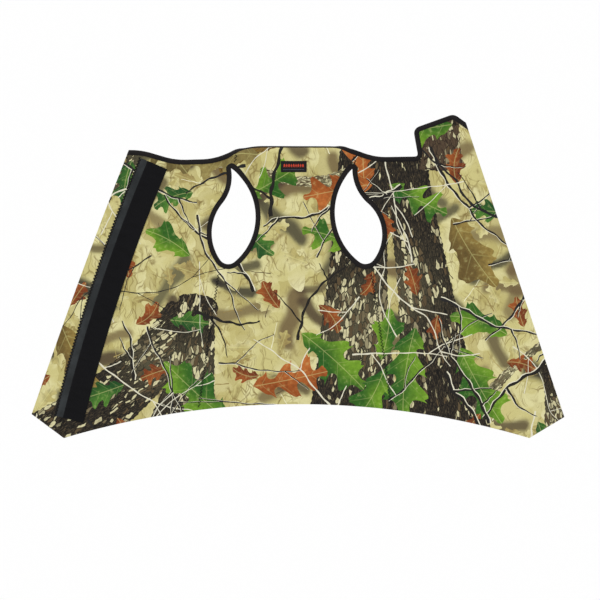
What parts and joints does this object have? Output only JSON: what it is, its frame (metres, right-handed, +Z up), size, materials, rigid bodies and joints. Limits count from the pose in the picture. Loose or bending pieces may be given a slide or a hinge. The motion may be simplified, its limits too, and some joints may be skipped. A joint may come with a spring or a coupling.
{
  "type": "dog vest",
  "caption": "Neoprene hunting dog vest laid open flat: leaf-print face, bound neck and leg holes, collar tab, hook-and-loop back closure.",
  "frame": {"origin": "middle of the open vest, on the surface that it lies on", "axes": "+X across the vest from the loop flap to the hook flap, +Y from the hem to the neck, +Z up out of the printed face"},
  "size_m": [0.745, 0.452, 0.007],
  "materials": {
    "leaf_print_jersey": "nylon jersey printed with leaves, twigs and bark",
    "neoprene_foam": "closed-cell foam sheet, fine pores on a cut edge",
    "plain_jersey": "plain black nylon jersey",
    "edge_binding": "folded stretch binding tape, fine cross ribs",
    "tape_cloth": "woven selvedge, fine twill",
    "loop_pile": "brushed loop pile, very dark and soft",
    "hook_field": "rows of small moulded hooks",
    "label_cloth": "woven damask label with a plain ornament",
    "black_thread": "twisted nylon thread",
    "label_thread": "fine twisted thread"
  },
  "bodies": {
    "chest": {"chest_face_fabric": "leaf_print_jersey", "chest_foam_core": "neoprene_foam", "chest_lining": "plain_jersey", "chest_neck_binding": "edge_binding", "left_leg_binding_inner": "edge_binding", "right_leg_binding_inner": "edge_binding", "left_seam_stitching": "black_thread", "right_seam_stitching": "black_thread", "woven_label": "label_cloth", "label_stitching": "label_thread"},
    "left_flank": {"left_flank_face_fabric": "leaf_print_jersey", "left_flank_foam_core": "neoprene_foam", "left_flank_lining": "plain_jersey", "left_flank_neck_binding": "edge_binding", "left_leg_binding_outer": "edge_binding"},
    "left_flap": {"left_flap_face_fabric": "leaf_print_jersey", "left_flap_foam_core": "neoprene_foam", "left_flap_lining": "plain_jersey", "left_flap_neck_binding": "edge_binding", "loop_tape_backing": "tape_cloth", "loop_tape_pile": "loop_pile", "loop_tape_stitching": "black_thread"},
    "right_flank": {"right_flank_face_fabric": "leaf_print_jersey", "right_flank_foam_core": "neoprene_foam", "right_flank_lining": "plain_jersey", "right_flank_neck_binding": "edge_binding", "right_leg_binding_outer": "edge_binding"},
    "right_flap": {"right_flap_face_fabric": "leaf_print_jersey", "right_flap_foam_core": "neoprene_foam", "right_flap_lining": "plain_jersey", "right_flap_neck_binding": "edge_binding", "hook_tape_backing": "tape_cloth", "hook_tape_hooks": "hook_field", "hook_tape_stitching": "black_thread"}
  },
  "joints": [
    {"name": "left_flank_fold", "type": "hinge", "parent": "chest", "child": "left_flank", "pos_m": [-0.139, -0.18504, 0], "axis": [-0.1468, -0.9892, 0], "range_deg": [0, 120]},
    {"name": "left_back_fold", "type": "hinge", "parent": "left_flank", "child": "left_flap", "pos_m": [-0.239, -0.18504, 0], "axis": [-0.2252, -0.9743, 0], "range_deg": [0, 59.5]},
    {"name": "right_flank_fold", "type": "hinge", "parent": "chest", "child": "right_flank", "pos_m": [0.131, -0.18504, 0], "axis": [-0.1468, 0.9892, 0], "range_deg": [0, 120]},
    {"name": "right_back_fold", "type": "hinge", "parent": "right_flank", "child": "right_flap", "pos_m": [0.23937, -0.1831, 0], "axis": [-0.2252, 0.9743, 0], "range_deg": [0, 59.5]}
  ]
}
